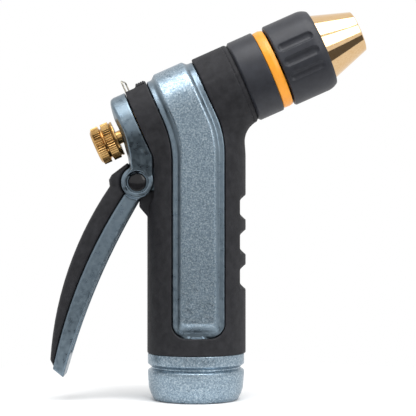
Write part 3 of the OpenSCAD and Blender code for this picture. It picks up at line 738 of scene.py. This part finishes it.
def notchDistance(p):
    # finger hollows down the front of the handle, negative inside them
    across = np.hypot(p[:, 0], p[:, 1])
    floor = grip["radius"] - notch["depth"] - across
    best = np.full(len(p), 1e3)
    for i in range(3):
        z = np.abs(p[:, 2] - notch["low"] - i * notch["pitch"])
        wall = smoothMax(z - notch["height"] / 2 + 0.95 * np.maximum(0, grip["radius"] - across),
                         np.abs(p[:, 1]) - notch["half"], 1.6)
        best = np.minimum(best, smoothMax(wall, floor, 0.7))
    return np.maximum(best, -p[:, 0])


def sleeveField(p):
    s, n = headParts(p)
    d = np.maximum(gripOutside(p), -rearClearance(p))
    d = smoothMax(d, s - grip["neck"], grip["seam"])
    proud = np.hypot(n, p[:, 1]) - grip["headRadius"]
    d = smoothMax(d, 0.16 - np.hypot(s - grip["line"], proud), 0.2)
    lip = np.minimum(proud, 1)
    d = smoothMax(d, (s - grip["neck"] + lip + 0.8) * 0.707, 0.2)
    d = smoothMax(d, grip["bottom"] - p[:, 2], 0.35)
    d = np.minimum(d, wedgeDistance(p))
    d = smoothMax(d, -notchDistance(p), 0.5)
    stepCut = smoothMax(s - clipStep["end"], clipStep["rise"] - n, 1.0)
    d = smoothMax(d, -stepCut, 0.4)
    d = smoothMax(d, -(bandDistance(p) - grip["gap"]), grip["edge"])
    return np.maximum(d, 0.04 - metalDistance(p))


fitOut("grip_sleeve_rubber", fieldMesh("grip_sleeve_rubber", sleeveField,
       (-26, -17.5, 16), (24, 17.5, 127), grip["step"]),
       "body", "grip_rubber", rubberFinish, "grip_sleeve")


thumbRibs = {"Ribs": 4, "Rib Pitch": 0.82, "Radius": 14.72, "Half Angle": math.radians(24),
             "Wire": 0.38, "Finish": rubberFinish}
fitOut("thumb_ribs_rubber", grownMesh("thumb_ribs_rubber", ribTree, thumbRibs,
       lambda q: headSpin((q[0], q[1], q[2] - 16.75))), "body", "grip_rubber", rubberFinish)


# trigger

arm = {"half": 9.2, "top": 13.9, "step": 0.33, "wall": 2.2, "ears": -17.5,
       "buttons": (-28.6, 4.7), "buttonRadius": 2.0, "buttonHalf": 1.3,
       "dish": 7.6, "dishFloor": -28.3, "dishHub": 3.2, "slot": 3.0, "slotHalf": 4.0}
armSide = [(-21.65, 13.95), (-26.3, 13.95), (-27.5, 13.2), (-28.2, 11.4), (-28.7, 9.0),
           (-29.1, 5.5), (-29.2, 0.0), (-30.1, -8.0), (-31.2, -12.2), (-34.4, -14.2),
           (-36.0, -17.5), (-30.4, -23.0), (-25.19, -19.82), (-21.65, -11.8)]
armHollow = [(0, 30), (-25.7, 30), (-25.7, 9.5), (-26.7, 0), (-27.9, -11.5), (-33.4, -14.5),
             (-30.4, -17.5), (0, -17.5)]
lever = {"half": 8.0, "padHalf": 8.3, "ear": 5.7, "back": 26.2, "drop": 69.0, "innerSag": -2.4,
         "seatSag": -3.3, "padSag": -4.4, "wall": 2.2, "channelHalf": 5.9,
         "counterbore": (3.9, 7.3), "padStep": 0.4}


def fromPin(*offsets):
    return [(pivot["x"] + a, pivot["z"] + b) for a, b in offsets]


def leverEdges():
    v = lever
    inner = arcPoints(*fromPin((1, 0.4 - v["ear"]), (-v["back"], -v["drop"])), v["innerSag"])
    seat = arcPoints(*fromPin((-4.2, -3.6), (-v["back"] - 3.7, 3 - v["drop"])), v["seatSag"])
    pad = arcPoints(*fromPin((-10.2, -1.4), (-v["back"] - 5.1, 6 - v["drop"])), v["padSag"])
    return inner, seat, pad


def armOutline(n, y, top, half):
    # round over the head, then straight cheeks that close in to the ears
    drop = -arm["ears"]
    lean = math.atan2(drop, half) - math.acos(top / math.hypot(half, drop))
    y = np.abs(y)
    cheek = y * math.cos(lean) - n * math.sin(lean) - top
    d = np.where(n > -top * math.sin(lean), np.hypot(n, y) - top, cheek)
    return np.where(n < -drop, y - half, d)


def leverField(p):
    s, n = headParts(p)
    y, x, z = np.abs(p[:, 1]), p[:, 0], p[:, 2]
    inner, seat = leverEdges()[:2]
    aroundPin = np.hypot(x - pivot["x"], z - pivot["z"])
    side = outlineDistance(s, n, armSide)
    crown = s - 0.012 * np.maximum(p[:, 1] ** 2 - 20, 0)
    side = smoothMax(side, outlineDistance(crown, n, armSide), 0.5)
    d = smoothMax(side, armOutline(n, p[:, 1], arm["top"], arm["half"]), 0.9)
    ear = smoothMax(aroundPin - lever["ear"], y - arm["half"], 0.7)
    d = smoothMin(d, ear, 0.8)
    blade = outlineDistance(x, z, inner + seat[::-1] + fromPin((0, 0)))
    d = smoothMin(d, smoothMax(blade, y - lever["half"], 0.9), 0.9)
    station, across = arm["buttons"]
    buttons = np.hypot(s - station, n) - arm["buttonRadius"]
    d = np.minimum(d, smoothMax(buttons, np.abs(y - across) - arm["buttonHalf"], 0.3))
    hollow = np.maximum(outlineDistance(s, n, armHollow),
                        armOutline(n, p[:, 1], arm["top"] - arm["wall"], lever["channelHalf"]))
    channelEnds = fromPin((-4.2 + lever["wall"], -3.9), (-lever["back"] - 1.5, 8 - lever["drop"]))
    channel = fromPin((30, 20), (-4, -0.5)) + arcPoints(*channelEnds, lever["seatSag"])
    channel += fromPin((3 - lever["back"], 8 - lever["drop"]), (30, 8 - lever["drop"]))
    open_ = np.minimum(outlineDistance(x, z, channel), aroundPin - lever["ear"] + 1)
    hollow = np.minimum(hollow, smoothMax(open_, y - lever["channelHalf"], 0.8))
    d = smoothMax(d, -hollow, 0.6)
    dish = smoothMax(np.hypot(n, p[:, 1]) - arm["dish"], s - arm["dishFloor"], 0.3)
    dish = np.maximum(dish, -(s + 34))
    d = smoothMax(d, -np.maximum(dish, arm["dishHub"] - np.maximum(y, np.abs(n))), 0.4)
    slot = np.hypot(np.maximum(np.abs(n - 1) - arm["slotHalf"], 0), y) - arm["slot"]
    slot = np.maximum(slot, s + 24)
    d = smoothMax(d, -np.maximum(slot, -(s + 40)), 0.4)
    d = smoothMax(d, pivot["hole"] - aroundPin, 0.15)
    sink, sinkFrom = lever["counterbore"]
    return smoothMax(d, -np.maximum(aroundPin - sink, sinkFrom - y), 0.25)


def padField(p):
    s, n = headParts(p)
    y, x, z = np.abs(p[:, 1]), p[:, 0], p[:, 2]
    seat, pad = leverEdges()[1:]
    rim = pad + fromPin((-lever["back"] - 4.4, 4.6 - lever["drop"])) + seat[::-1]
    rim += fromPin((-2, 5), (-3.7, 7.1), (-9.5, 2.7), (-10.5, 0.9))
    d = outlineDistance(x, z, rim)
    d = smoothMax(d, 5.78 - np.hypot(x - pivot["x"], z - pivot["z"]), 0.4)
    d = smoothMax(d, 0.06 - outlineDistance(s, n, armSide), 0.4)
    backEdge = outlineDistance(x - 0.035 * np.maximum(y - 2, 0) ** 2, z, rim)
    d = smoothMax(d, backEdge, 0.6)
    return smoothMax(d, y - lever["padHalf"], 2.2)


fitOut("trigger_lever_zinc", fieldMesh("trigger_lever_zinc", leverField,
       (-52, -14.2, 7), (-13, 14.2, 110), arm["step"]),
       "trigger", "zinc", triggerZinc, "trigger_lever")
fitOut("trigger_pad_rubber", fieldMesh("trigger_pad_rubber", padField,
       (-53, -8.5, 10), (-20, 8.5, 86), lever["padStep"]),
       "trigger", "grip_rubber", rubberFinish, "trigger_pad")


# turned pieces and knobs

def pinSide(sign):
    def place(point):
        return (pivot["x"] + point[0], -sign * point[2], pivot["z"] + point[1])
    return place


pinHead = {"radius": 3.25, "low": 7.7, "top": 9.38, "shank": 1.77}


def pinMesh(name, sign, shankFrom):
    v = pinHead
    skirt = v["low"] + 0.75
    dome = [(v["radius"] * math.cos(a), skirt + (v["top"] - skirt) * math.sin(a))
            for a in np.radians(range(0, 90, 10))]
    profile = [(0.001, shankFrom), (v["shank"], shankFrom), (v["shank"], v["low"]),
               (v["radius"] - 0.1, v["low"])] + dome + [(0.001, v["top"])]
    return latheMesh(name, profile, 0.05, pinSide(sign), turns=72, smoothAngle=40)


glossBlack = dict(satinPlastic, colour=(0.006, 0.006, 0.007), pale=(0.01, 0.01, 0.011),
                  rough=(0.1, 0.18))
glossFinish = makeSoft("glossBlack", glossBlack, ("colour", "pale"), 0.35, 0.1)
fitOut("pivot_pin_domed", pinMesh("pivot_pin_domed", 1, -8.6), "body", "black_plastic",
       glossFinish, "pivot_pin")
fitOut("pin_retainer_cap", pinMesh("pin_retainer_cap", -1, 7.6), "body", "black_plastic",
       glossFinish, "pin_retainer")

neckCollar = {"radius": 14.95, "back": 18.12, "front": 27.9, "spigot": 12.5, "ring": 31.7,
              "bore": 12.95, "inner": 9.0}
v = neckCollar
fitOut("neck_collar_turned", latheMesh("neck_collar_turned", [
    (v["bore"], v["back"], 0.1), (v["radius"] - 0.75, v["back"], 0.15),
    (v["radius"], v["back"] + 0.75, 0.2),
    (v["radius"], v["front"], 0.4), (v["spigot"], v["front"], 0), (v["spigot"], v["ring"], 0.1),
    (v["inner"], v["ring"], 0.1), (v["inner"], 24.2, 0), (v["bore"], 24.2, 0)], 0.2, headSpin),
    "body", "black_plastic", plasticFinish, "neck_collar")
accentRing = {"bore": 12.5, "back": 28.0, "backRadius": 14.3, "crest": 30.2, "radius": 14.5,
              "front": 31.75, "frontRadius": 14.1}
v = accentRing
fitOut("accent_ring_turned", latheMesh("accent_ring_turned", [
    (v["bore"], v["back"], 0.05), (v["backRadius"], v["back"], 0.35),
    (v["radius"], v["crest"], 1.2), (v["frontRadius"], v["front"], 0.35), (v["bore"], v["front"], 0.05)],
    0.2, headSpin), "body", "orange_plastic", orangeFinish, "accent_ring")

twistKnob = {"radius": 15.15, "back": 32.3, "front": 49.1, "cone": 12.25, "bore": 8.9,
             "fluteRadius": 2.1, "fluteDepth": 0.85, "fluteFrom": 35.1, "fluteTo": 45.1,
             "crown": 6.4, "crownFrom": 45.2, "coneSeat": 45.8, "ringBore": 9.7, "ringSeat": 43.4,
             "groups": 3, "flutes": 3, "spacing": 21.3, "groupTurn": -3.5, "step": 0.32}


def twistKnobField(p):
    v = twistKnob
    s, n = headParts(p)
    r = np.hypot(n, p[:, 1])
    bulge = np.hypot(s - v["crownFrom"], r - v["radius"] + v["crown"]) - v["crown"]
    outer = np.where(s > v["crownFrom"], bulge, r - v["radius"])
    outer = smoothMax(outer, s - v["front"], 0.25)
    outer = np.maximum(outer, v["back"] - s)
    outer = smoothMax(outer, (r - v["radius"] + v["back"] - s) * 0.707 + 0.3, 0.2)
    d = np.maximum(outer, v["bore"] - r)
    d = smoothMax(d, -np.maximum(r - v["cone"], v["coneSeat"] - s), 0.25)
    d = np.maximum(d, -np.maximum(r - v["ringBore"], v["ringSeat"] - s))
    around = np.degrees(np.arctan2(n, -p[:, 1])) - v["groupTurn"]
    group = 360 / v["groups"]
    around = (around + group / 2) % group - group / 2
    best = np.full(len(p), 1e3)
    for i in range(v["flutes"]):
        a = np.radians(around - (i - (v["flutes"] - 1) / 2) * v["spacing"])
        sideways, out = r * np.sin(a), r * np.cos(a)
        end = np.maximum(np.maximum(v["fluteFrom"] - s, s - v["fluteTo"]), 0)
        lift = out - (v["radius"] - v["fluteDepth"] + v["fluteRadius"])
        best = np.minimum(best, np.sqrt(sideways ** 2 + lift ** 2 + end ** 2) - v["fluteRadius"])
    return smoothMax(d, -best, 0.18)


fitOut("twist_knob_fluted", fieldMesh("twist_knob_fluted", twistKnobField,
       (23, -15.3, 103), (53, 15.3, 141), twistKnob["step"]),
       "spray_knob", "black_plastic", plasticFinish, "twist_knob")

cone = {"radius": 12.2, "tip": 7.35, "back": 45.9, "seat": 49.1, "front": 63.6, "outlet": 3.6}
v = cone
fitOut("nozzle_cone_polished", latheMesh("nozzle_cone_polished", [
    (8.1, v["back"], 0.1), (v["radius"] - 0.05, v["back"], 0.1),
    (v["radius"] - 0.05, v["seat"] + 0.2, 0.4), (v["tip"] + 0.1, v["front"] - 0.25, 0.35),
    (v["tip"] - 0.45, v["front"], 0.2), (6.2, v["front"], 0.3),
    (5.6, v["front"] - 0.55, 0.3), (v["outlet"] + 0.35, v["front"] - 0.55, 0.2),
    (v["outlet"], v["front"] - 0.95, 0.1), (v["outlet"], 60.0, 0.1),
    (5.0, 59.0, 0.1), (8.1, 51.5, 0.1)], 0.2, headSpin, turns=192),
    "spray_knob", "polished_brass", polishedFinish, "nozzle_cone")

flowKnob = {"radius": 6.45, "back": -39.2, "front": -31.42, "stem": 2.48, "stemEnd": -37.6,
            "groove": 0.95, "knurlFrom": -37.1}
knurl = {"Ridges": 48, "Bands": 2, "Band Pitch": 3.75, "Radius": 6.4, "Half Width": 0.42,
         "Length": 2.7, "Finish": knurledFinish}
v = flowKnob
fitOut("flow_knob_turned", latheMesh("flow_knob_turned", [
    (0.001, v["back"], 0), (v["radius"] - 0.9, v["back"], 0.4),
    (v["radius"], v["back"] + 0.75, 0.15),
    (v["radius"], v["back"] + 3.45, 0.1), (v["radius"] - v["groove"], v["back"] + 3.75, 0.15),
    (v["radius"] - v["groove"], v["back"] + 4.2, 0.15), (v["radius"], v["back"] + 4.5, 0.1),
    (v["radius"], v["front"] - 0.6, 0.15), (v["radius"] - 0.4, v["front"], 0.15),
    (v["stem"], v["front"], 0), (v["stem"], v["stemEnd"], 0), (0.001, v["stemEnd"], 0)],
    0.15, headSpin),
    "flow_knob", "knurled_brass", knurledFinish, "flow_knob")
fitOut("flow_knob_knurl", grownMesh("flow_knob_knurl", knurlTree, knurl,
       lambda q: headSpin((q[0], q[1], q[2] + flowKnob["knurlFrom"]))),
       "flow_knob", "knurled_brass", knurledFinish)
thrustWasher = {"bore": 2.48, "radius": 6.4, "back": -31.38, "front": -30.62}
v = thrustWasher
fitOut("thrust_washer_turned", latheMesh("thrust_washer_turned", [
    (v["bore"], v["back"], 0.1), (v["radius"], v["back"], 0.2), (v["radius"], v["front"], 0.2),
    (v["bore"], v["front"], 0.1)], 0.1, headSpin),
    "knob_washer", "brass", knurledFinish, "thrust_washer")


# wire clip

clip = {"wire": 0.3, "half": 5.5, "station": -20.7, "hinge": 11.6, "top": 17.5, "bend": 1.2,
        "skew": 0.5}


def clipPath():
    v = clip
    h, b = v["half"], v["bend"]
    corners = [(v["hinge"], -h + 1.4), (v["hinge"], -h), (v["top"], -h),
               (v["top"], h), (v["hinge"], h), (v["hinge"], h - 1.4)]
    path = []
    for i, (n, y) in enumerate(corners):
        if i in (0, len(corners) - 1):
            path.append((n, y))
            continue
        here = np.array([n, y])
        a, c = np.array(corners[i - 1]) - here, np.array(corners[i + 1]) - here
        a, c = a / np.hypot(*a), c / np.hypot(*c)
        for t in np.linspace(0, 1, 7):
            turn = t * math.pi / 2
            path.append(tuple(here + b * ((1 - math.sin(turn)) * a + (1 - math.cos(turn)) * c)))
    fine = []
    for (n0, y0), (n1, y1) in zip(path, path[1:]):
        steps = max(1, int(math.hypot(n1 - n0, y1 - y0) / 0.8))
        fine += [(n0 + (n1 - n0) * k / steps, y0 + (y1 - y0) * k / steps) for k in range(steps)]
    fine.append(path[-1])
    return [headPoint(v["station"] + v["skew"] * y / h, n, y) for n, y in fine]


fitOut("hold_open_wire", tubeMesh("hold_open_wire", clipPath(), clip["wire"]),
       "clip", "steel", steelFinish, "hold_open_clip")


# finishes for the inner pieces

innerPieces = [
    (knurledFinish, ["packing_nut", "seat_ring", "barrel", "spray_plug", "valve_stem", "seal_cup"]),
    (sealFinish, ["inlet_washer", "packing_o_ring", "barrel_o_ring", "valve_seal", "knob_o_ring"]),
    (steelFinish, ["valve_spring", "spring_seat", "seal_screw"])]
for finish, members in innerPieces:
    for name in members:
        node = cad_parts[name]
        node.data.materials.clear()
        node.data.materials.append(finish)
print("inner pieces finished")


# studio

# the dark tone and its near and far edges mark a floor patch in front of the object that paints a dark
# reflection into the metal
studio = {"distance": 0.55, "aim": (0.0043, 0.0, 0.0682), "lens": 133, "floor": -0.0002,
          "fade": (0.05, 0.14), "paintedReflectionNear": (-0.085, -0.075), "paintedReflectionFar": (-1.1, -1.0),
          "paintedReflectionTone": (0.13, 0.125, 0.12), "reach": 3.0, "lampAim": (0.01, 0, 0.1)}

floorMesh = bpy.data.meshes.new("floor")
reach = studio["reach"]
floorMesh.from_pydata([(-reach, -reach, studio["floor"]), (reach, -reach, studio["floor"]),
                       (reach, reach, studio["floor"]), (-reach, reach, studio["floor"])], [],
                      [(0, 1, 2, 3)])
floor = newObject("studioFloor", floorMesh)
floorPaint = bpy.data.materials.new("palePaperWithPaintedReflection")
floorPaint.use_nodes = True
nodes, links = floorPaint.node_tree.nodes, floorPaint.node_tree.links
paper = nodes["Principled BSDF"]
paper.inputs["Base Color"].default_value = (0.92, 0.92, 0.92, 1)
paper.inputs["Roughness"].default_value = 0.9


def mathNode(nodes, links, kind, *values):
    made = nodes.new("ShaderNodeMath")
    made.operation = kind
    made.use_clamp = kind in ("ADD", "SUBTRACT")
    for socket, value in zip(made.inputs, values):
        if isinstance(value, (int, float)):
            socket.default_value = value
        else:
            links.new(value, socket)
    return made.outputs["Value"]


def seenRays(nodes, links, rays):
    # rays that should meet the white backdrop
    seen = mathNode(nodes, links, "ADD",
                    rays.outputs["Is Camera Ray"], rays.outputs["Is Glossy Ray"])
    return mathNode(nodes, links, "ADD", seen, rays.outputs["Is Transmission Ray"])


rays = nodes.new("ShaderNodeLightPath")
place = nodes.new("ShaderNodeTexCoord")
far = nodes.new("ShaderNodeVectorMath")
far.operation = "LENGTH"
links.new(place.outputs["Object"], far.inputs[0])
fade = valueRange(nodes, links, far.outputs["Value"], 0, 1, *studio["fade"])
backdrop = nodes.new("ShaderNodeEmission")
towardWhite = nodes.new("ShaderNodeMixShader")
links.new(mathNode(nodes, links, "MULTIPLY", fade.outputs["Result"], seenRays(nodes, links, rays)),
          towardWhite.inputs["Fac"])
links.new(paper.outputs["BSDF"], towardWhite.inputs[1])
links.new(backdrop.outputs["Emission"], towardWhite.inputs[2])
# a dark patch on the floor in front of the object, seen by glossy rays only: a painted dark reflection
# in the metal, with no card or object standing there
spot = nodes.new("ShaderNodeSeparateXYZ")
links.new(place.outputs["Object"], spot.inputs["Vector"])
nearEdge = valueRange(nodes, links, spot.outputs["Y"], 1, 0, *studio["paintedReflectionNear"])
farEdge = valueRange(nodes, links, spot.outputs["Y"], 0, 1, *studio["paintedReflectionFar"])
paintedReflection = nodes.new("ShaderNodeEmission")
paintedReflection.inputs["Color"].default_value = (*studio["paintedReflectionTone"], 1)
paintedReflectionShare = mathNode(nodes, links, "MULTIPLY",
                     nearEdge.outputs["Result"], farEdge.outputs["Result"])
withPaintedReflection = nodes.new("ShaderNodeMixShader")
links.new(mathNode(nodes, links, "MULTIPLY", paintedReflectionShare, rays.outputs["Is Glossy Ray"]),
          withPaintedReflection.inputs["Fac"])
links.new(towardWhite.outputs["Shader"], withPaintedReflection.inputs[1])
links.new(paintedReflection.outputs["Emission"], withPaintedReflection.inputs[2])
links.new(withPaintedReflection.outputs["Shader"], nodes["Material Output"].inputs["Surface"])
floor.data.materials.append(floorPaint)

world = bpy.data.worlds.new("studio")
scene.world = world
world.use_nodes = True
nodes, links = world.node_tree.nodes, world.node_tree.links
nodes.clear()
out = nodes.new("ShaderNodeOutputWorld")
mix = nodes.new("ShaderNodeMixShader")
seen = nodes.new("ShaderNodeBackground")
seen.inputs["Color"].default_value = (1, 1, 1, 1)
light = nodes.new("ShaderNodeBackground")
rays = nodes.new("ShaderNodeLightPath")
way = nodes.new("ShaderNodeTexCoord")
parts = nodes.new("ShaderNodeSeparateXYZ")
links.new(way.outputs["Generated"], parts.inputs["Vector"])
roomTone = valueRange(nodes, links, parts.outputs["Z"], 0.0, 1.0, 0.0, 1.0)
room = colourRamp(nodes, links, roomTone.outputs["Result"],
                  [(0.0, (0.34, 0.35, 0.36)), (0.4, (0.55, 0.56, 0.57)), (0.9, (0.9, 0.9, 0.9))])
links.new(room.outputs["Color"], light.inputs["Color"])
links.new(seenRays(nodes, links, rays), mix.inputs["Fac"])
links.new(light.outputs["Background"], mix.inputs[1])
links.new(seen.outputs["Background"], mix.inputs[2])
links.new(mix.outputs["Shader"], out.inputs["Surface"])


def softBox(name, spot, width, depth, power):
    lamp = bpy.data.lights.new(name, "AREA")
    lamp.shape = "RECTANGLE"
    lamp.size, lamp.size_y = width, depth
    lamp.energy = power
    made = bpy.data.objects.new(name, lamp)
    scene.collection.objects.link(made)
    made.location = spot
    way = Vector(studio["lampAim"]) - Vector(spot)
    made.rotation_euler = way.to_track_quat("-Z", "Y").to_euler()


softBoxes = {  # place, width, depth and power
    "overheadSoftBox": ((0.03, -0.20, 0.72), 0.7, 0.5, 5.5),
    "rightSoftBox": ((0.50, -0.60, 0.46), 0.45, 0.45, 2.2)}
for name, values in softBoxes.items():
    softBox(name, *values)

cameraData = bpy.data.cameras.new("camera")
cameraData.lens = studio["lens"]
camera = bpy.data.objects.new("camera", cameraData)
scene.collection.objects.link(camera)
aim = Vector(studio["aim"])
camera.location = aim + Vector((0, -studio["distance"], 0))
camera.rotation_euler = (math.radians(90), 0, 0)
scene.camera = camera
scene.view_settings.view_transform = "Standard"

print("scene ready")
